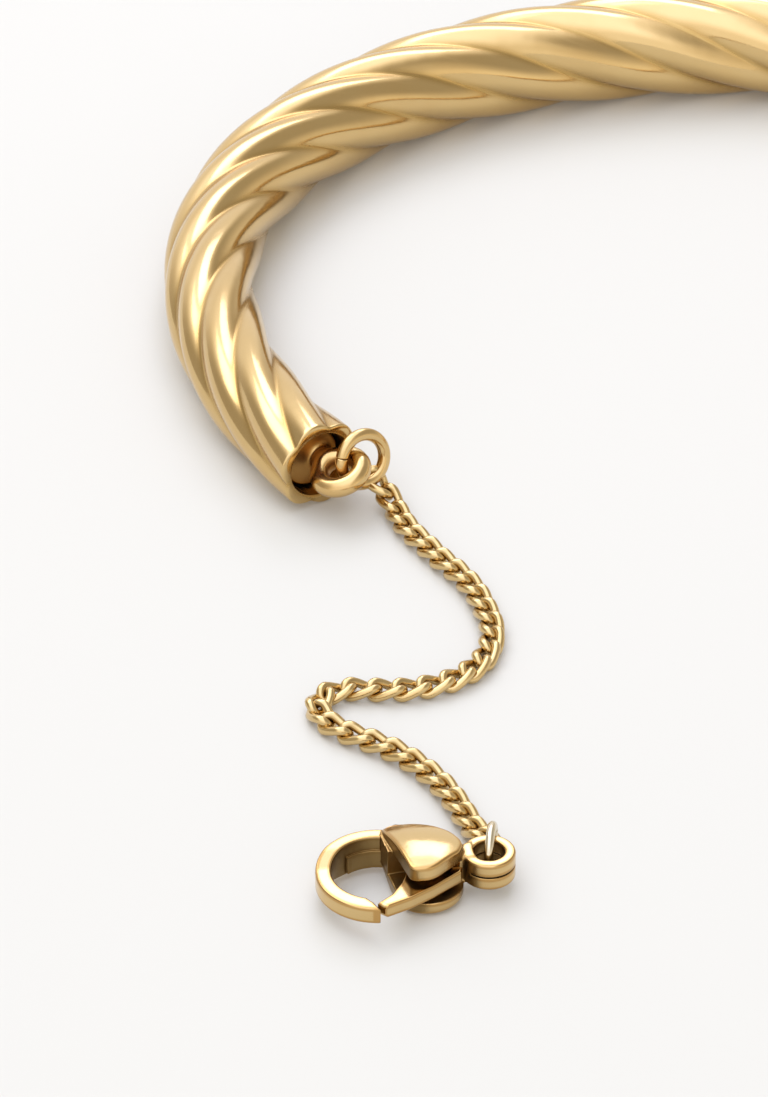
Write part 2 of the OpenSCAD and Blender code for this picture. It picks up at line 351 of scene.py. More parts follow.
@dataclass(frozen=True)
class FloorFinish:
    """The pale matt surface that the bangle lies on, with a faint glow that paints light into its shadows."""

    color: Color = (0.61, 0.597, 0.541)
    # painted light: the floor glows faintly, lifting its shadows
    shine: Color = (1.0, 0.955, 0.9)
    glow_strength: float = 0.07
    roughness: float = 0.7
    specular: float = 0.2

    @cached_property
    def material(self) -> Material:
        """The floor's material.

        Returns:
            The material, which is made at its first use.
        """
        made = bpy.data.materials.new("pale_floor")
        made.use_nodes = True
        nodes = Nodes(made.node_tree)
        inputs = {
            "Base Color": self.color,
            "Roughness": self.roughness,
            "Specular IOR Level": self.specular,
            # painted light: a faint glow over the whole floor, its shadows too
            "Emission Color": self.shine,
            "Emission Strength": self.glow_strength,
        }
        shader = nodes.out("BsdfPrincipled", {}, inputs)
        nodes.add("OutputMaterial", {}, {"Surface": shader})
        return made


@dataclass(frozen=True)
class Outline:
    """A flat shape given by its signed distance, which is negative inside."""

    field: FlatField

    @classmethod
    def circle(cls, at: Spot, radius: float) -> Outline:
        """Returns a disc."""
        return cls(lambda x, y: np.hypot(x - at[0], y - at[1]) - radius)

    @classmethod
    def behind(cls, at: Spot, outward: Spot) -> Outline:
        """Returns all that lies behind a line through a point, with outward pointing away from it."""
        length = math.hypot(*outward)
        nx, ny = outward[0] / length, outward[1] / length
        return cls(lambda x, y: (x - at[0]) * nx + (y - at[1]) * ny)

    @classmethod
    def box(cls, left: float = -INF, right: float = INF, low: float = -INF, high: float = INF) -> Outline:
        """Returns a rectangle, which reaches far off on each side that isn't given."""
        return cls(lambda x, y: np.maximum(np.maximum(left - x, x - right), np.maximum(low - y, y - high)))

    @classmethod
    def link(cls, first: Spot, first_r: float, second: Spot, second_r: float) -> Outline:
        """Returns two discs and the straight-sided piece between them.

        Args:
            first: Centre of the first disc.
            first_r: Its radius.
            second: Centre of the second disc.
            second_r: Its radius.

        Returns:
            The outline.
        """
        length = math.dist(first, second)
        way = ((second[0] - first[0]) / length, (second[1] - first[1]) / length)
        lean = (first_r - second_r) / length
        rise = math.sqrt(1.0 - lean * lean)

        def distance(x: Array, y: Array) -> Array:
            """Returns the distance to the linked discs."""
            along = (x - first[0]) * way[0] + (y - first[1]) * way[1]
            aside = np.abs((y - first[1]) * way[0] - (x - first[0]) * way[1])
            part = along * rise - aside * lean
            side = aside * rise + along * lean - first_r
            near = np.hypot(aside, along) - first_r
            far = np.hypot(aside, along - length) - second_r
            return np.where(part < 0.0, near, np.where(part > rise * length, far, side))

        return cls(distance)

    @classmethod
    def facets(cls, points: Sequence[Spot], corner: float) -> Outline:
        """Returns a convex shape with straight sides and rounded corners.

        Args:
            points: Its corners, anticlockwise.
            corner: Radius of the rounding.

        Returns:
            The outline.
        """
        sides = []
        for (ax, ay), (bx, by) in zip(points, [*points[1:], points[0]]):
            length = math.hypot(bx - ax, by - ay)
            sides.append((ax, ay, (by - ay) / length, (ax - bx) / length))

        def distance(x: Array, y: Array) -> Array:
            """Returns the distance to the sides, with their meetings rounded."""
            each = [(x - ax) * nx + (y - ay) * ny for ax, ay, nx, ny in sides]
            return -reduce(lambda a, b: soft_min(a, -b, corner), each[1:], -each[0])

        return cls(distance)

    @classmethod
    def polygon(cls, points: Sequence[Spot]) -> Outline:
        """Returns a shape with straight sides."""

        def distance(x: Array, y: Array) -> Array:
            """Returns the distance to the nearest side, with the sign of the inside."""
            best = np.full(np.broadcast(x, y).shape, np.inf)
            outside = np.ones(best.shape, bool)
            for (ax, ay), (bx, by) in zip(points, [*points[1:], points[0]]):
                ex, ey = bx - ax, by - ay
                wx, wy = x - ax, y - ay
                share = np.clip((wx * ex + wy * ey) / (ex * ex + ey * ey), 0.0, 1.0)
                best = np.minimum(best, (wx - share * ex) ** 2 + (wy - share * ey) ** 2)
                above, below, left = y >= ay, y < by, ex * wy > ey * wx
                outside = np.where((above & below & left) | ~(above | below | left), ~outside, outside)
            return np.where(outside, 1.0, -1.0) * np.sqrt(best)

        return cls(distance)

    def __or__(self, other: Outline) -> Outline:
        """Returns both shapes joined."""
        return Outline(lambda x, y: np.minimum(self.field(x, y), other.field(x, y)))

    def __and__(self, other: Outline) -> Outline:
        """Returns what lies in both shapes."""
        return Outline(lambda x, y: np.maximum(self.field(x, y), other.field(x, y)))

    def __sub__(self, other: Outline) -> Outline:
        """Returns this shape without the other."""
        return Outline(lambda x, y: np.maximum(self.field(x, y), -other.field(x, y)))

    def slab(self, low: float, high: float, edge: float) -> Form:
        """Returns the shape as a plate.

        Args:
            low: Height of its underside.
            high: Height of its top.
            edge: Radius of the rounding of its rims.

        Returns:
            The plate.
        """
        return Form(lambda x, y, z: rounded(self.field(x, y), np.maximum(low - z, z - high), edge))

    def plate(self, half: float, edge: float = 0.0) -> Form:
        """Returns the shape as a plate that reaches half up and half down."""
        return self.slab(-half, half, edge)


@dataclass(frozen=True)
class Form:
    """A solid given by its signed distance in millimetres, which is negative inside."""

    field: Field

    @classmethod
    def ball(cls, at: Place, radius: float) -> Form:
        """Returns a ball."""
        return cls(lambda x, y, z: np.sqrt((x - at[0]) ** 2 + (y - at[1]) ** 2 + (z - at[2]) ** 2) - radius)

    @classmethod
    def rod(cls, start: float, stop: float, radius: float, edge: float) -> Form:
        """Returns a round rod along X, from start to stop, with rounded ends."""
        return cls(lambda x, y, z: rounded(np.hypot(y, z) - radius, np.maximum(start - x, x - stop), edge))

    @classmethod
    def hoop(cls, diameter: float, wire: float) -> Form:
        """Returns a ring of round wire in the XY plane, about the origin."""
        return cls(lambda x, y, z: np.hypot(np.hypot(x, y) - diameter / 2.0, z) - wire / 2.0)

    def join(self, other: Form, fillet: float = 0.0) -> Form:
        """Returns both solids as one, with a fillet where they meet."""
        return Form(lambda x, y, z: soft_min(self.field(x, y, z), other.field(x, y, z), fillet))

    def keep(self, other: Form, edge: float = 0.0) -> Form:
        """Returns what lies in both solids, with a soft edge where they meet."""
        return Form(lambda x, y, z: -soft_min(-self.field(x, y, z), -other.field(x, y, z), edge))

    def cut(self, other: Form, edge: float = 0.0) -> Form:
        """Returns this solid without the other, with a soft edge where they meet."""
        return Form(lambda x, y, z: -soft_min(-self.field(x, y, z), other.field(x, y, z), edge))

    def placed(self, at: Place, axes: Array) -> Form:
        """Returns the solid moved to a place and turned.

        Args:
            at: Where its origin goes.
            axes: A 3 by 3 matrix whose columns are its own axes there.

        Returns:
            The solid in its new place.
        """

        def distance(x: Array, y: Array, z: Array) -> Array:
            """Returns the distance, measured in the solid's own axes."""
            away = (x - at[0], y - at[1], z - at[2])
            own = [sum(axes[k, i] * away[k] for k in range(3)) for i in range(3)]
            return self.field(*own)

        return Form(distance)

    def at(self, points: Array) -> Array:
        """Returns the distances at points."""
        return self.field(points[:, 0], points[:, 1], points[:, 2])

    def slope(self, points: Array, reach: float) -> Array:
        """Returns the gradient of the distance at points, over plus and minus reach."""
        steps = reach * np.eye(3)
        return np.stack([(self.at(points + s) - self.at(points - s)) / (2.0 * reach) for s in steps], 1)

    def shell(self, low: Place, high: Place, step: float) -> Shell:
        """Makes the solid's surface by surface nets, then moves its points onto the solid.

        Args:
            low: Lowest corner of the box that holds the solid.
            high: Highest corner of it.
            step: Size of a cell.

        Returns:
            The surface, with its normals and masks.
        """
        axes = [np.arange(a, b + step, step) for a, b in zip(low, high)]
        values = np.broadcast_to(self.field(*np.ix_(*axes)), [len(a) for a in axes])
        inside = values < 0.0
        cells = tuple(n - 1 for n in inside.shape)
        filled = np.zeros(cells, np.int8)
        for c in CORNERS:
            filled += inside[tuple(slice(c[k], c[k] + cells[k]) for k in range(3))]
        active = np.argwhere((filled > 0) & (filled < 8))
        number = np.full(cells, -1)
        number[tuple(active.T)] = np.arange(len(active))
        points = np.array(low) + step * (active + self._crossings(values, active))
        faces = np.concatenate([self._faces(inside, number, axis) for axis in range(3)])
        passes, fine, coarse, least = 4, 0.1, 0.2, 0.25
        for _ in range(passes):
            slope = self.slope(points, fine * step)
            off = np.clip(self.at(points), -step, step) / np.maximum((slope * slope).sum(1), least)
            points -= off[:, None] * slope
        normals = unit(self.slope(points, coarse * step))
        return Shell(points, faces, normals, {**self._masks(points, normals), "lay": points})

    def _masks(self, points: Array, normals: Array) -> dict[str, Array]:
        """Returns masks of painted shade in creases, where metal is near or faces them, and of a painted dark
        reflection along rims, where it is thin.
        """
        near, far, depth = 0.3, 2.6, 0.22
        faced_gain, faced_off, edge_reflection_gain, edge_reflection_off = 2.0, 0.25, 4.0, 0.15
        # painted shade: hollows close round the surface, and other metal that the surface faces
        close = 1.0 - self.at(points + near * normals) / near
        faced = faced_gain * (1.0 - self.at(points + far * normals) / far) - faced_off
        # painted dark reflection where the metal is thin, along edges
        edge = edge_reflection_gain * (1.0 + self.at(points - depth * normals) / depth) - edge_reflection_off
        return {"crease": np.clip(np.maximum(close, faced), 0.0, 1.0), "rim": np.clip(edge, 0.0, 1.0)}

    @staticmethod
    def _crossings(values: Array, active: Array) -> Array:
        """Returns, for each active cell, the mean of the places where its edges cross the surface."""
        at = [values[tuple((active + c).T)] for c in CORNERS]
        total = np.zeros((len(active), 3))
        count = np.zeros(len(active))
        for a, b in EDGES:
            crossing = (at[a] < 0.0) != (at[b] < 0.0)
            share = np.where(crossing, at[a] / np.where(crossing, at[a] - at[b], 1.0), 0.0)
            total += crossing[:, None] * (CORNERS[a] + share[:, None] * (CORNERS[b] - CORNERS[a]))
            count += crossing
        return total / count[:, None]

    @staticmethod
    def _faces(inside: Array, number: Array, axis: int) -> Array:
        """Returns the faces across the grid's edges along one axis, as four cell numbers each."""
        u, v = (axis + 1) % 3, (axis + 2) % 3
        count = inside.shape[axis] - 1
        first = np.take(inside, np.arange(count), axis)
        second = np.take(inside, np.arange(1, count + 1), axis)
        edge = np.argwhere(first != second)
        fits = [(edge[:, k] >= 1) & (edge[:, k] < number.shape[k]) for k in (u, v)]
        edge = edge[fits[0] & fits[1]]
        to_u, to_v = np.eye(3, dtype=int)[u], np.eye(3, dtype=int)[v]
        around = [edge - to_u - to_v, edge - to_v, edge, edge - to_u]
        quads = np.stack([number[tuple(c.T)] for c in around], 1)
        outward = first[tuple(edge.T)]
        return np.where(outward[:, None], quads, quads[:, ::-1])


@dataclass
class Shell:
    """A surface: points in millimetres, faces as point numbers, and what is painted on the points."""

    points: Array
    faces: Array
    normals: Array | None = None
    paint: dict[str, Array] = field(default_factory=dict)

    @classmethod
    def swept(cls, rows: Array, paint: Mapping[str, Array]) -> Shell:
        """Joins rings of points into one closed skin, whose last ring meets the first.

        Args:
            rows: The rings, as ring by point by coordinate.
            paint: Values on the points, with the same first two sizes.

        Returns:
            The skin, facing outward.
        """
        count, n = rows.shape[:2]
        i, j = np.meshgrid(np.arange(count), np.arange(n), indexing="ij")
        after, beside = (i + 1) % count, (j + 1) % n
        quads = np.stack([i * n + j, after * n + j, after * n + beside, i * n + beside], -1).reshape(-1, 4)
        points = rows.reshape(-1, 3)
        a, b, c, d = (points[quads[:, k]] for k in range(4))
        volume = (np.cross(a, b) * c).sum() + (np.cross(a, c) * d).sum()
        faces = quads if volume > 0 else quads[:, ::-1]
        flat = {name: values.reshape(len(points), -1).squeeze() for name, values in paint.items()}
        return cls(points, faces, None, flat)

    @classmethod
    def joined(cls, shells: Sequence[Shell]) -> Shell:
        """Returns several surfaces as one."""
        starts = np.cumsum([0] + [len(s.points) for s in shells[:-1]])
        paint = {name: np.concatenate([s.paint[name] for s in shells]) for name in shells[0].paint}
        faces = np.concatenate([s.faces + start for s, start in zip(shells, starts)])
        return cls(np.concatenate([s.points for s in shells]), faces, None, paint)

    def placed(self, at: Array, axes: Array) -> Shell:
        """Returns the surface moved to a place and turned, with the columns of axes as its own axes there."""
        normals = None if self.normals is None else self.normals @ axes.T
        faces = self.faces if np.linalg.det(axes) > 0 else self.faces[:, ::-1]
        return Shell(self.points @ axes.T + at, faces, normals, self.paint)

    def piece(self, name: str, finish: GoldFinish, body: Body, node: str) -> None:
        """Makes the surface a piece of the scene.

        Args:
            name: The piece's name.
            finish: What it is made of.
            body: The body that it rides on.
            node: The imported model's node that it stands for.
        """
        mesh = bpy.data.meshes.new(name)
        mesh.from_pydata((self.points * MM).tolist(), [], self.faces.tolist())
        mesh.polygons.foreach_set("use_smooth", np.ones(len(mesh.polygons), bool))
        for label, values in self.paint.items():
            vector = values.ndim == 2
            attribute = mesh.attributes.new(label, "FLOAT_VECTOR" if vector else "FLOAT", "POINT")
            attribute.data.foreach_set("vector" if vector else "value", values.astype(np.float32).ravel())
        if self.normals is not None:
            mesh.normals_split_custom_set_from_vertices(self.normals.tolist())
        mesh.materials.append(finish.material)
        made = add_object(name, mesh)
        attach(made, body.value)
        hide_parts(node)
        LOG.info("%s: %d faces", name, len(self.faces))


@dataclass(frozen=True)
class Camera:
    """The view of the object. Its place is in millimetres, and its focal length in pixels of the picture."""

    place: Place = (-21.6, -256.25, 158.8)
    pitch: float = 34.0
    focal_px: float = 5200.0
    long_side_px: float = 1097.0
    sensor: float = 36.0
    clip: Spot = (10.0, 10000.0)

    def build(self) -> None:
        """Makes the camera, looking along +Y and down by pitch."""
        data = bpy.data.cameras.new("camera")
        data.sensor_width = self.sensor
        data.lens = self.sensor * self.focal_px / self.long_side_px
        data.clip_start, data.clip_end = (MM * distance for distance in self.clip)
        made = add_object("camera", data)
        made.location = Vector(self.place) * MM
        made.rotation_euler = Euler((math.radians(90.0 - self.pitch), 0.0, 0.0))
        bpy.context.scene.camera = made


@dataclass(frozen=True)
class Softbox:
    """One soft light: a square panel that faces the middle of the object. Lengths are in millimetres."""

    name: str
    place: Place
    size: float
    watts: float
    color: Color = (1.0, 1.0, 1.0)
    aim: Place = (-10.0, -20.0, 0.0)

    def build(self) -> None:
        """Makes the light."""
        data = bpy.data.lights.new(self.name, "AREA")
        data.size = self.size * MM
        data.energy = self.watts
        data.color = self.color
        made = add_object(self.name, data)
        made.location = Vector(self.place) * MM
        way = Vector(self.aim) - Vector(self.place)
        made.rotation_euler = way.to_track_quat("-Z", "Y").to_euler()


@dataclass
class Studio:
    """The plain set: a pale floor, a wide bright strip overhead that reaches down at the back, and a softbox.

    The strip's edges are given along X, and its height along Z, both on a ball of radius 1 round the object.
    """

    floor_size: float = 3000.0
    strip: float = 1.95
    strip_color: Color = (0.94, 0.99, 1.17)
    strip_left: Spot = (-0.85, -0.5)
    strip_right: Spot = (0.2, 0.5)
    strip_rise: Spot = (0.35, 0.9)
    strip_low: float = 0.42
    sides: float = 0.5
    sides_color: Color = (1.07, 1.0, 0.88)
    front: float = 0.35
    front_from: Spot = (-0.8, -0.2)
    glow: float = 0.35
    glow_from: Spot = (0.2, 0.8)
    glow_top: Spot = (0.1, 0.5)
    backdrop: float = 0.96
    boxes: tuple[Softbox, ...] = (
        Softbox("key_softbox", (-260.0, 220.0, 520.0), 340.0, 0.65),
        Softbox("back_softbox", (0.0, 215.0, 215.0), 120.0, 0.1, (0.95, 0.95, 1.25)),
    )

    def build(self) -> None:
        """Makes the floor and the lights, and sets how light becomes picture."""
        self._floor()
        self._world()
        for box in self.boxes:
            box.build()
        bpy.context.scene.view_settings.view_transform = "Standard"

    def _floor(self) -> None:
        """Makes the floor."""
        half = self.floor_size * MM / 2.0
        mesh = bpy.data.meshes.new("floor")
        corners = [(-half, -half, 0), (half, -half, 0), (half, half, 0), (-half, half, 0)]
        mesh.from_pydata(corners, [], [(0, 1, 2, 3)])
        mesh.materials.append(FloorFinish().material)
        add_object("floor", mesh)

    def _world(self) -> None:
        """Makes the light from all round, brightest overhead."""
        world = bpy.data.worlds.new("studio")
        world.use_nodes = True
        bpy.context.scene.world = world
        nodes = Nodes(world.node_tree)
        way = nodes.out("TexCoord", {}, {}, "Generated")
        x, y, z = (nodes.out("SeparateXYZ", {}, {"Vector": way}, axis) for axis in "XYZ")
        across = x.between(*self.strip_left) * (1.0 - x.between(*self.strip_right))
        sky = across * (z.between(*self.strip_rise) * (1.0 - self.strip_low) + self.strip_low)
        glow = x.between(*self.glow_from) * (1.0 - z.between(*self.glow_top)) * self.glow
        side = (1.0 - y.between(*self.front_from)) * self.front + glow + self.sides
        lit = sky * (self.strip - side) + side
        seen = nodes.out("LightPath", {}, {}, "Is Camera Ray")
        strength = seen * (self.backdrop - lit) + lit
        tint = nodes.mixed(sky, self.sides_color, self.strip_color)
        shader = nodes.out("Background", {}, {"Color": tint, "Strength": strength})
        nodes.add("OutputWorld", {}, {"Surface": shader})


@dataclass
class TwistedTube:
    """The hollow tube: an open oval, thinner towards its ends, with ridges that wind round it like a rope."""

    half_w: float = 31.5
    half_d: float = 31.0
    egg: float = 0.115
    end_angle: float = 32.0
    back_dia: float = 6.5
    end_dia: float = 5.2
    wall: float = 0.35
    ridges: int = 6
    groove_pitch: float = 6.2
    groove_depth: float = 0.45
    twist_start: float = 45.0
    cad_steps: int = 104
    ring_points: int = 96
    stations: int = 640
    bore_stations: int = 90
    samples: int = 2001
    lip: float = 0.13
    lip_steps: int = 4
    groove_soft: float = 0.06
    # painted shade all through the bore
    bore_shade: float = 0.8
    lay_stretch: float = 0.12

    def marks(self, count: int) -> Array:
        """Returns angles round the oval, from one end to the other."""
        return np.linspace(-self.end_angle, 180.0 + self.end_angle, count)

    def thick(self, t: Array) -> Array:
        """Returns the thickness over the ridges at an angle round the oval."""
        away = np.abs(t - 90.0) / (90.0 + self.end_angle)
        return self.end_dia + (self.back_dia - self.end_dia) * (1.0 + np.cos(np.pi * away)) / 2.0

    def scale(self, t: Array) -> Array:
        """Returns the thickness as a share of the thickness at the back."""
        return self.thick(t) / self.back_dia

    def bore(self, t: Array) -> Array:
        """Returns the radius of the bore."""
        return self.thick(t) / 2.0 - self.groove_depth * self.scale(t) - self.wall

    def centre(self, t: Array) -> Array:
        """Returns the centre line, half a thickness above the surface."""
        c, s = np.cos(np.radians(t)), np.sin(np.radians(t))
        return np.stack([self.half_w * (1.0 + self.egg * s) * c, self.half_d * s, self.thick(t) / 2.0], -1)

    def flow(self, t: Array) -> Array:
        """Returns the level direction of the centre line."""
        c, s = np.cos(np.radians(t)), np.sin(np.radians(t))
        across = self.half_w * (self.egg * c * c - (1.0 + self.egg * s) * s)
        return unit(np.stack([across, self.half_d * c, 0 * c], -1))

    def twist(self, t: Array) -> Array:
        """Returns the turn of the ridges, in degrees."""
        marks = self.marks(self.cad_steps + 1)
        along = np.interp(t, marks, lengths_along(self.centre(marks)))
        return self.twist_start + 360.0 * along / (self.ridges * self.groove_pitch)

    def mouth(self) -> tuple[Array, Array]:
        """Returns the near mouth's centre, and the axes of its fittings with X out of the mouth."""
        t = np.array(180.0 + self.end_angle)
        flow = self.flow(t)
        return self.centre(t), turned(math.degrees(math.atan2(flow[1], flow[0])))

    def _rings(self, length: float) -> tuple[Array, Array, Array]:
        """Lays out the rings of points: outside, round a lip, back through the bore, round the other lip.

        Args:
            length: The tube's length.

        Returns:
            Each ring's place along the tube, how far the lip's rounding moves it, and if it is in the bore.
        """
        corner = np.radians(np.linspace(0.0, 90.0, self.lip_steps + 1))
        outside = np.linspace(self.lip, length - self.lip, self.stations)
        bore = np.linspace(length - self.lip, self.lip, self.bore_stations)
        out_lip = length - self.lip * (1.0 - np.sin(corner[1:]))
        in_lip = length - self.lip * (1.0 - np.cos(corner[1:-1]))
        places = [outside, out_lip, in_lip, bore, length - in_lip[::-1], length - out_lip[::-1]]
        inset = self.lip * (1.0 - np.cos(corner[1:]))
        swell = self.lip * (1.0 - np.sin(corner[1:-1]))
        trims = [0 * outside, inset, swell, 0 * bore, swell[::-1], inset[::-1]]
        counts = [len(outside) + len(inset), len(bore) + 2 * len(swell), len(inset)]
        return np.concatenate(places), np.concatenate(trims), np.repeat([False, True, False], counts)

    def shell(self) -> Shell:
        """Makes the tube's skin: outside, lips and bore.

        Returns:
            The skin, with painted shade in its grooves and bore, and marks laid along its ridges.
        """
        marks = self.marks(self.samples)
        along = lengths_along(self.centre(marks))
        places, trims, within = self._rings(along[-1])
        t = np.interp(places, along, marks)
        a = one_turn(self.ring_points)
        crest = np.abs(np.cos(self.ridges * a / 2.0))
        crest = np.sqrt((crest**2 + self.groove_soft**2) / (1.0 + self.groove_soft**2))
        groove = self.groove_depth * self.scale(t)[:, None] * (1.0 - crest)
        outer = self.thick(t)[:, None] / 2.0 - groove - trims[:, None]
        inner = (self.bore(t) + trims)[:, None]
        radius = np.where(within[:, None], inner, outer)
        turn = a + np.radians(self.twist(t))[:, None]
        flow = self.flow(t)
        across = np.stack([-flow[:, 1], flow[:, 0], 0 * t], -1)
        swing = np.cos(turn)[..., None] * across[:, None, :] + np.sin(turn)[..., None] * UP
        # painted shade: darker down each groove and all through the bore
        crease = np.where(within[:, None], self.bore_shade, (1.0 - crest) ** 2)
        way = places[:, None] * self.lay_stretch + 0 * radius
        lay = np.stack([way, radius * np.cos(a), radius * np.sin(a)], -1)
        skin = self.centre(t)[:, None, :] + radius[..., None] * swing
        return Shell.swept(skin, {"crease": crease, "lay": lay})

    def build(self) -> None:
        """Makes the piece that stands for the tube."""
        self.shell().piece("twisted_tube", TUBE_FINISH, Body.ROOT, "bangle_tube")


@dataclass
class EndFitting:
    """What closes a mouth of the tube: a sunk cap, and a loop on a stem, soldered together."""

    tube: TwistedTube
    mouth_depth: float = 0.9
    cap_t: float = 1.0
    fit_gap: float = 0.05
    wire: float = 1.1
    loop_dia: float = 2.4
    reach: float = 1.2
    side: float = 0.5
    tilt: float = 20.0
    solder: float = 0.5
    cap_edge: float = 0.12
    stem_edge: float = 0.1
    margin: float = 0.2
    step: float = 0.075

    def form(self) -> Form:
        """Returns the fitting in the mouth's axes."""
        bow = (self.mouth_depth + self.cap_t) ** 2 / self.tube.half_d
        bore = float(self.tube.bore(np.array(180.0 + self.tube.end_angle)))
        cap_r = bore * math.cos(math.pi / (3.0 * self.tube.ridges)) - self.fit_gap - bow
        cap = Form.rod(-self.mouth_depth - self.cap_t, -self.mouth_depth, cap_r, self.cap_edge)
        root, top = -self.mouth_depth - self.cap_t / 2.0, self.reach - self.loop_dia / 2.0
        stem = Form.rod(root, top, self.wire / 2.0, self.stem_edge).placed((0.0, self.side, 0.0), np.eye(3))
        loop = Form.hoop(self.loop_dia, self.wire).placed((self.reach, self.side, 0.0), tilted(self.tilt))
        return cap.join(stem, self.solder).join(loop, self.solder)

    def build(self, end: End) -> None:
        """Makes the fitting at one end of the tube."""
        half = (self.loop_dia + self.wire) / 2.0 + self.side + self.margin
        low = (-self.mouth_depth - self.cap_t - self.margin, -half, -half)
        high = (self.reach + half, half, half)
        at, axes = self.tube.mouth()
        mirror = np.diag([1.0 if end is End.NEAR else -1.0, 1.0, 1.0])
        shell = self.form().shell(low, high, self.step).placed(mirror @ at, mirror @ axes)
        shell.piece(f"{end.value}_fitting", FITTING_FINISH, Body.ROOT, f"end_cap_{end.value}")


@dataclass
class WireRing:
    """A jump ring of round wire, not soldered. Its axes' columns are two in its plane and its own axis."""

    centre: Array
    axes: Array
    diameter: float
    wire: float
    slit: float = 0.03
    slit_at: float = 0.0
    # painted shade at the cut ends, where they almost meet
    slit_shade: float = 0.8
    bevel: float = 0.9
    along: int = 120
    around: int = 28

    def nearest(self, point: Array) -> Array:
        """Returns the place on the wire's centre line that is nearest to a point."""
        away = point - self.centre
        away = away - (away @ self.axes[:, 2]) * self.axes[:, 2]
        return self.centre + unit(away) * self.diameter / 2.0

    def build(self, name: str, finish: GoldFinish, node: str) -> None:
        """Makes the ring, whose two cut ends almost meet.

        Args:
            name: The piece's name.
            finish: What it is made of.
            node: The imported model's node that it stands for.
        """
        half = math.degrees(self.slit / self.diameter)
        turns = np.radians(np.linspace(self.slit_at + half, self.slit_at + 360.0 - half, self.along))
        turns = np.pad(turns, 2, "edge")
        shrink = np.concatenate([[0.0, self.bevel], np.ones(self.along), [self.bevel, 0.0]])
        around = one_turn(self.around)
        r = self.diameter / 2.0 + self.wire / 2.0 * shrink[:, None] * np.cos(around)
        rise = self.wire / 2.0 * shrink[:, None] * np.sin(around)
        own = np.stack([r * np.cos(turns)[:, None], r * np.sin(turns)[:, None], rise], -1)
        # painted shade at the cut ends
        crease = np.where(shrink < 1.0, self.slit_shade, 0.0)[:, None] + 0 * r
        lay = np.stack([turns[:, None] + 0 * r, r, rise], -1)
        shell = Shell.swept(own, {"crease": crease, "lay": lay}).placed(self.centre, self.axes)
        shell.piece(name, finish, Body.ROOT, node)


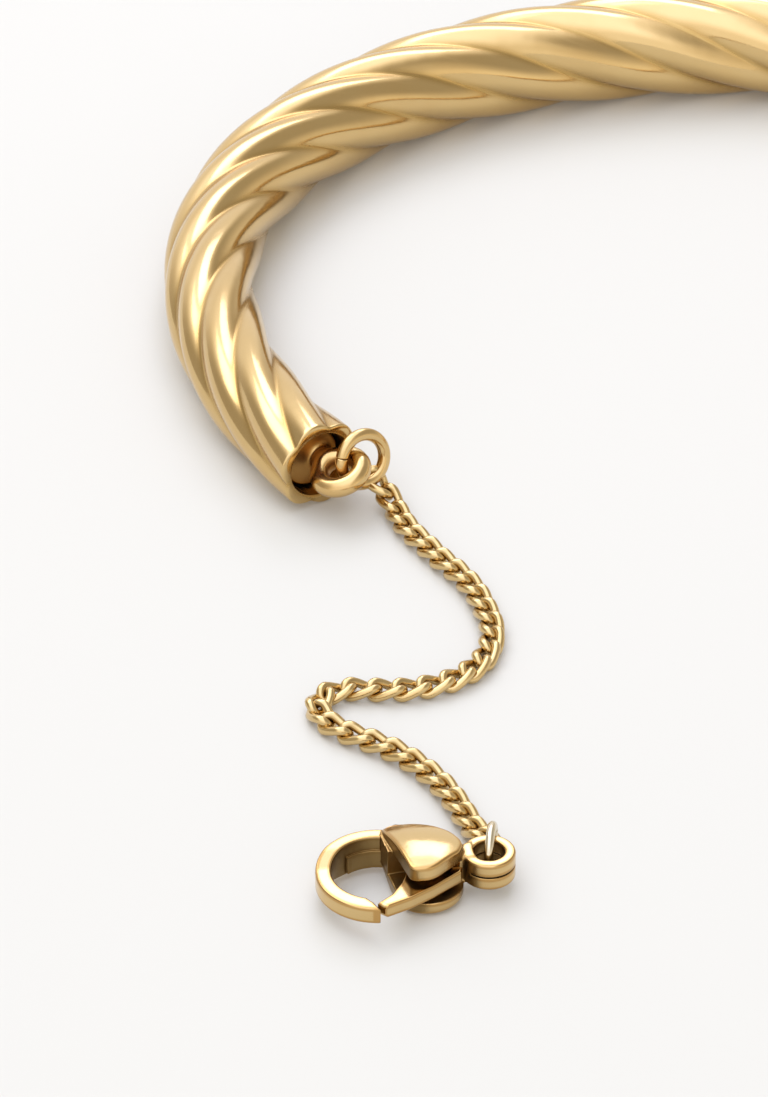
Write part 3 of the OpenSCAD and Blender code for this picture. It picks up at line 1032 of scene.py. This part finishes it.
@dataclass
class CurbChain:
    """The fine chain: twisted links of round wire, laid along its route."""

    route: Array
    wire: float = 0.48
    width: float = 1.42
    pitch: float = 1.32
    twist: float = 52.0
    lift: float = 0.1
    smooth: int = 24
    around: int = 14
    along: int = 60
    # painted shade on the wire's inner side, weakest at a link's middle
    side_shade: float = 0.35
    inner_squash: float = 0.2
    lay_stretch: float = 0.4

    def path(self, start: Array, stop: Array) -> tuple[Array, Array]:
        """Returns a smooth line from start through the route to stop, and the length up to its points."""
        knots = np.concatenate([[start], self.route[1:-1] + self.lift * UP, [stop]])
        padded = np.concatenate([[2 * knots[0] - knots[1]], knots, [2 * knots[-1] - knots[-2]]])
        s = np.linspace(0.0, 1.0, self.smooth, endpoint=False)[:, None]
        parts = []
        for a, b, c, d in zip(padded, padded[1:], padded[2:], padded[3:]):
            curve = 2 * b + (c - a) * s + (2 * a - 5 * b + 4 * c - d) * s**2 + (3 * b - a - 3 * c + d) * s**3
            parts.append(0.5 * curve)
        line = np.concatenate([*parts, [stop]])
        return line, lengths_along(line)

    def link(self, pitch: float) -> Shell:
        """Makes one link about the origin: X along the chain, Z up. Its two ends are twisted opposite ways.

        Args:
            pitch: Distance from one link to the next.

        Returns:
            The link's skin.
        """
        half = (pitch + self.wire) / 2.0
        side = (self.width - self.wire) / 2.0
        straight = 2.0 * (half - side)
        total = 2.0 * straight + 2.0 * math.pi * side
        s = np.arange(self.along) * total / self.along
        bend = math.pi * side
        first = np.clip((s - straight) / side, 0.0, math.pi)
        second = np.clip((s - 2.0 * straight - bend) / side, 0.0, math.pi)
        angle = first + second
        back = np.clip(s - straight - bend, 0.0, straight)
        x = np.minimum(s, straight) - back - straight / 2.0 + side * np.sin(angle)
        y = -side * np.cos(angle)
        tilt = -np.radians(self.twist) * x / half
        line = np.stack([x, y * np.cos(tilt), y * np.sin(tilt)], -1)
        way = unit(np.roll(line, -1, 0) - np.roll(line, 1, 0))
        rise = np.stack([0 * tilt, -np.sin(tilt), np.cos(tilt)], -1)
        rise = unit(rise - (rise * way).sum(1)[:, None] * way)
        aside = np.cross(way, rise)
        a = one_turn(self.around)[:, None]
        ring = np.cos(a) * aside[:, None] + np.sin(a) * rise[:, None]
        rows = line[:, None] + self.wire / 2.0 * ring
        inner = -(ring * unit(line * [1.0, 1.0, self.inner_squash])[:, None]).sum(-1)
        # painted shade on each wire's inner side, strongest where the links hook into each other
        depth = self.side_shade + (1.0 - self.side_shade) * np.abs(x) / half
        crease = np.clip(inner, 0.0, 1.0) * depth[:, None]
        lay = rows * [self.lay_stretch, 1.0, 1.0]
        return Shell.swept(rows, {"crease": crease, "lay": lay})

    def build(self, first: WireRing, last: WireRing) -> int:
        """Makes all links as one piece, hooked into the rings at both ends.

        Args:
            first: The ring at the tube's end.
            last: The ring at the clasp.

        Returns:
            The number of links.
        """
        line, lengths = self.path(first.nearest(self.route[0]), last.nearest(self.route[-1]))
        hold = [(self.pitch - ring.wire) / 2.0 for ring in (first, last)]
        room = lengths[-1] - sum(hold)
        count = round(room / self.pitch) + 1
        pitch = room / (count - 1)
        model = self.link(pitch)
        links = []
        for k in range(count):
            middle = hold[0] + k * pitch
            marks = np.clip([middle - pitch / 2.0, middle + pitch / 2.0], 0.0, lengths[-1])
            ends = np.stack([np.interp(marks, lengths, line[:, i]) for i in range(3)], -1)
            way = unit(ends[1] - ends[0])
            aside = unit(np.cross(UP, way))
            axes = np.stack([way, aside, np.cross(way, aside)], -1)
            centre = np.array([np.interp(middle, lengths, line[:, i]) for i in range(3)])
            links.append(model.placed((ends.mean(0) + centre) / 2.0, axes))
        Shell.joined(links).piece("curb_chain", CHAIN_FINISH, Body.ROOT, "chain")
        return count


@dataclass
class Clasp:
    """The lever clasp. Its axes run from the ear's centre to the hook, and up from its mid plane.

    lobe_corners are the top lobe's, anticlockwise. lever_corners has three columns: the share of the way from
    the pin to the tip, what is added to that way, and the way aside, towards the clasp's outside.
    """

    lobe_corners: tuple[Spot, ...] = (
        (1.28, -0.1), (1.32, -0.7), (1.65, -1.4), (2.35, -2.1), (3.3, -2.65), (4.3, -2.92), (4.78, -2.78),
        (4.88, -2.35), (4.45, 0.6), (4.35, 1.3), (4.07, 1.56), (3.39, 1.63), (3.0, 1.5), (1.6, 0.52),
    )
    lever_corners: tuple[Place, ...] = (
        (1.0, 0.0, 0.0), (0.66, 0.0, 0.67), (0.31, 0.0, 1.15), (0.0, -0.52, 1.59), (0.0, -0.9, 1.42),
        (0.0, -0.5, 0.9), (0.0, 0.25, -0.86), (0.46, 0.0, -0.4), (0.73, 0.0, -0.3), (0.98, 0.0, -0.5),
        (1.0, 0.0, -0.4),
    )
    place: Place = (-16.4, -50.9, 1.5)
    turn: float = 193.0
    hook_x: float = 5.65
    hook_r: float = 3.1
    hook_band: float = 0.8
    hook_h: float = 0.95
    hook_shift: float = 0.08
    hook_low: float = -1.2
    hook_top: float = 0.7
    hook_grow: Spot = (0.1, 0.75)
    pin: Spot = (3.1, 0.1)
    cheek_r: float = 1.75
    cheek_t: float = 0.95
    slot_h: float = 1.3
    lever_h: float = 0.75
    ear_r: float = 1.34
    ear_hole_r: float = 0.78
    ear_h: float = 1.5
    ear_slit: float = 0.08
    ear_edge: float = 0.13
    slit_in: float = 0.3
    slit_edge: float = 0.06
    pin_r: float = 0.4
    fit_gap: float = 0.05
    hub_r: float = 1.05
    hub_gap: float = 0.15
    boss_r: float = 0.85
    back_r: float = 0.95
    back_in: Spot = (1.6, 0.95)
    back_high: float = -1.0
    neck: Spot = (-0.75, 0.3)
    neck_end: float = 2.2
    fine_edge: float = 0.05
    sink: float = 0.1
    lobe_ball: Place = (3.4, 0.1, 7.0)
    lobe_round: float = 0.1
    lobe_spare: float = 0.3
    lobe_edge: float = 0.14
    lower_ball_r: float = 5.4
    lower_side_edge: float = 0.06
    lower_edge: float = 0.2
    hook_edge: float = 0.12
    hook_root: Spot = (9.0, -3.4)
    tip_in: Spot = (0.27, 0.28)
    tip_gap: float = 0.12
    tip_trim: float = 0.27
    tip_cut: Spot = (0.95, 0.31)
    tip_high: float = 1.0
    pad_in: float = 0.4
    pad_band: float = 0.13
    pad_reach: Spot = (-1.6, 0.9)
    pad_cut: Spot = (1.0, 0.1)
    pad_top: float = -1.2
    pad_rise: Spot = (-1.1, -0.06)
    small_edge: float = 0.04
    blade_edge: float = 0.1
    blade_end: float = 0.3
    lobe_fillet: float = 0.12
    back_fillet: float = 0.08
    small_fillet: float = 0.03
    ear_fillet: float = 0.2
    neck_fillet: float = 0.15
    body_step: float = 0.05
    lever_step: float = 0.04
    body_box: tuple[Place, Place] = ((-1.54, -3.4, -1.65), (8.95, 3.3, 1.85))
    lever_box: tuple[Place, Place] = ((0.9, -1.3, -0.8), (6.22, 3.22, 0.8))

    @property
    def back(self) -> Spot:
        """Where the cheeks meet the hook's root."""
        return (self.hook_x - self.back_in[0], self.back_in[1] - self.hook_r)

    @property
    def tip(self) -> Spot:
        """The lever's tip."""
        return (self.hook_x + self.tip_in[0], self.hook_r - self.tip_in[1])

    @property
    def tip_len(self) -> float:
        """Distance from the pin to the tip."""
        return math.dist(self.pin, self.tip)

    @property
    def half(self) -> float:
        """Half the height of the slot between the lobes."""
        return self.slot_h / 2.0

    def cheek(self) -> Outline:
        """Returns the lower lobe's outline, from the pin to the hook's root."""
        return Outline.link(self.pin, self.cheek_r, self.back, self.back_r)

    def band(self, inset: float, thick: float) -> Outline:
        """Returns a band round the hook's opening, inset from the hook's edge."""
        outer = Outline.circle((self.hook_x, 0.0), self.hook_r - inset)
        return outer - Outline.circle((self.hook_x, -self.hook_shift), self.hook_r - thick)

    def hook(self) -> Form:
        """Returns the hook, which is level at its tip and deeper at its root."""
        root = Outline.box(high=0.0) & Outline.behind((self.hook_x, 0.0), self.hook_root)
        mouth = Outline.box(right=self.hook_x, low=0.0)
        end = Outline.behind((self.tip[0] + self.tip_trim, self.hook_r), self.tip_cut)
        end = (end | Outline.circle(self.pin, self.tip_len + self.tip_gap)) & Outline.box(low=self.tip_high)
        outline = self.band(0.0, self.hook_band) - (root | mouth) - end

        def distance(x: Array, y: Array, z: Array) -> Array:
            """Returns the distance to the hook."""
            near, far = self.hook_grow
            grow = ease((-y / self.hook_r - near) / (far - near))
            top = self.hook_h / 2.0 + grow * (self.hook_top - self.hook_h / 2.0)
            low = -self.hook_h / 2.0 + grow * (self.hook_low + self.hook_h / 2.0)
            return rounded(outline.field(x, y), np.maximum(low - z, z - top), self.hook_edge)

        return Form(distance)

    def lobes(self) -> tuple[Form, Form]:
        """Returns the two lobes that hold the pin: the faceted top one, and the round one on the surface."""
        top = self.half + self.cheek_t
        x, y, r = self.lobe_ball
        upper = Outline.facets(self.lobe_corners, self.lobe_round)
        upper = upper.slab(self.half, top + self.lobe_spare, self.fine_edge)
        upper = upper.keep(Form.ball((x, y, top - r), r), self.lobe_edge)
        lower = self.cheek().slab(-self.place[2], -self.half, self.lower_side_edge)
        lower_ball = Form.ball((x, y, self.lower_ball_r - top), self.lower_ball_r)
        return upper, lower.keep(lower_ball, self.lower_edge)

    def pad(self) -> Form:
        """Returns the raised pad on the inside of the hook's root."""
        left, right = self.pad_reach
        outline = self.band(self.pad_in, self.hook_band + self.pad_band)
        outline = outline & Outline.behind((self.hook_x + right, 0.0), self.pad_cut)
        outline = outline & Outline.box(left=self.hook_x + left, high=self.pad_top)
        return outline.slab(*self.pad_rise, self.small_edge)

    def body(self) -> Form:
        """Returns the body: hook, two lobes, what joins them, and the split ear."""
        upper, lower = self.lobes()
        hub = Outline.circle(self.pin, self.hub_r + self.hub_gap)
        filling = (self.cheek() & Outline.box(high=self.back_high)) - hub
        filling = filling.plate(self.half + self.sink)
        neck = Outline.box(self.ear_hole_r, self.neck_end, *self.neck) - hub
        neck = neck.plate(self.half + self.sink, self.fine_edge)
        ear = Outline.circle((0.0, 0.0), self.ear_r) - Outline.circle((0.0, 0.0), self.ear_hole_r)
        ear = ear.plate(self.ear_h / 2.0, self.ear_edge)
        slit = Outline.box(right=self.ear_hole_r + self.slit_in).plate(self.ear_slit / 2.0)
        bore = Outline.circle(self.pin, self.pin_r + self.fit_gap).plate(self.half + self.cheek_t / 2.0)
        solid = self.hook().join(upper, self.lobe_fillet).join(lower, self.lobe_fillet)
        solid = solid.join(filling, self.back_fillet).join(self.pad(), self.small_fillet)
        solid = solid.join(neck.join(ear, self.ear_fillet), self.neck_fillet)
        return solid.cut(slit, self.slit_edge).cut(bore)

    def lever(self) -> Form:
        """Returns the lever: a bowed outer edge, a wedge-shaped tip and a round hub."""
        reach = self.tip_len
        way = ((self.tip[0] - self.pin[0]) / reach, (self.tip[1] - self.pin[1]) / reach)
        own = [(share * reach + more, aside) for share, more, aside in self.lever_corners]
        points = [
            (self.pin[0] + u * way[0] - v * way[1], self.pin[1] + u * way[1] + v * way[0]) for u, v in own
        ]
        half = self.lever_h / 2.0
        blade = (Outline.polygon(points) | Outline.circle(self.pin, self.hub_r)).plate(half, self.blade_edge)
        blade = blade.keep(Outline.circle(self.pin, reach).plate(half, self.blade_end))
        boss = Outline.circle(self.pin, self.boss_r).plate(self.half - self.fit_gap, self.small_edge)
        bore = Outline.circle(self.pin, self.pin_r + self.fit_gap).plate(self.slot_h)
        return blade.join(boss, self.small_fillet).cut(bore)

    def build(self, pin: Object) -> None:
        """Makes the body and the lever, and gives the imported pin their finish."""
        at, axes = np.array(self.place), turned(self.turn)
        body = self.body().shell(*self.body_box, self.body_step).placed(at, axes)
        body.piece("clasp_body_cast", CLASP_FINISH, Body.ROOT, "clasp_body")
        lever = self.lever().shell(*self.lever_box, self.lever_step).placed(at, axes)
        lever.piece("clasp_lever_blade", CLASP_FINISH, Body.LEVER, "clasp_lever")
        pin.data.materials.clear()
        pin.data.materials.append(CLASP_FINISH.material)


def chain_ring(
    fitting: EndFitting,
    diameter: float = 2.8,
    wire: float = 0.7,
    slack: float = 0.08,
    lean: float = 20.0,
    swing: float = 15.0,
) -> WireRing:
    """Places the ring that hangs on the high side of the near fitting's loop.

    Args:
        fitting: The near end's fitting.
        diameter: The ring's diameter, to the middle of its wire.
        wire: Thickness of its wire.
        slack: Play between it and the loop, besides the fitting's gap.
        lean: Angle below the level at which its centre hangs.
        swing: Angle by which the chain swings its foot out.

    Returns:
        The ring.
    """
    at, axes = fitting.tube.mouth()
    hang = diameter / 2.0 - wire / 2.0 - fitting.wire / 2.0 - fitting.fit_gap - slack
    high_side = tilted(fitting.tilt) @ np.array([0.0, fitting.loop_dia / 2.0, 0.0])
    top = np.array([fitting.reach, fitting.side, 0.0]) + high_side
    swung = turned(90.0) @ tilted(-swing) @ turned(-90.0)
    drop = swung @ np.array([0.0, math.cos(math.radians(lean)), -math.sin(math.radians(lean))])
    own = swung @ np.array([[0.0, 0.0, 1.0], [1.0, 0.0, 0.0], [0.0, 1.0, 0.0]])
    return WireRing(at + axes @ (top + hang * drop), axes @ own, diameter, wire, slit_at=160.0)


def ear_ring(
    clasp: Clasp,
    out: Spot = (0.12, 0.99),
    diameter: float = 2.42,
    wire: float = 0.46,
    rise: float = 0.0,
) -> WireRing:
    """Places the ring that stands in the clasp's ear.

    Args:
        clasp: The clasp.
        out: Direction from the ear's centre in which the ring stands.
        diameter: The ring's diameter, to the middle of its wire.
        wire: Thickness of its wire.
        rise: Height of its centre above the ear's.

    Returns:
        The ring.
    """
    middle = (clasp.ear_r + clasp.ear_hole_r) / 2.0
    centre = np.array(clasp.place) + np.array([out[0] * middle, out[1] * middle, rise])
    level = unit(np.array([out[0], out[1], 0.0]))
    return WireRing(centre, np.stack([level, UP, np.cross(level, UP)], -1), diameter, wire, slit_at=20.0)


CHAIN_ROUTE = np.array([
    (-21.7, -16.5, 1.05), (-21.4, -16.8, 0.75), (-21.1, -17.4, 0.5), (-20.8, -18.4, 0.45),
    (-20.2, -19.9, 0.45), (-19.4, -21.2, 0.45), (-18.5, -22.7, 0.45), (-17.6, -24, 0.45),
    (-16.8, -25.5, 0.45), (-16.3, -27.1, 0.45), (-15.9, -28.8, 0.45), (-15.9, -30.5, 0.45),
    (-16.4, -32.2, 0.45), (-17.2, -33.3, 0.45), (-18.4, -34.2, 0.45), (-19.8, -34.7, 0.45),
    (-21.3, -34.9, 0.45), (-22.7, -34.8, 0.45), (-23.9, -34.9, 0.45), (-24.8, -35.5, 0.45),
    (-25.1, -36.5, 0.45), (-24.6, -37.7, 0.45), (-23.6, -38.6, 0.45), (-22.3, -39.4, 0.45),
    (-20.9, -40.4, 0.45), (-19.6, -41.8, 0.45), (-18.6, -43.3, 0.45), (-17.9, -44.8, 0.45),
    (-17.3, -46.4, 0.45), (-16.8, -47.6, 0.6), (-16.4, -48.3, 0.8),
])


def main() -> None:
    """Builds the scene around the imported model."""
    logging.basicConfig(level=logging.INFO, format="%(message)s")
    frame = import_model()
    Camera().build()
    Studio().build()
    tube = TwistedTube()
    tube.build()
    fitting = EndFitting(tube)
    for end in End:
        fitting.build(end)
    clasp = Clasp()
    first, last = chain_ring(fitting), ear_ring(clasp)
    first.build("loop_ring", FITTING_FINISH, "chain_ring")
    last.build("ear_ring", PALE_FINISH, "clasp_ring")
    count = CurbChain(CHAIN_ROUTE).build(first, last)
    LOG.info("the chain has %d links", count)
    clasp.build(frame["nodes"]["clasp_pin"])


if __name__ == "__main__":
    main()
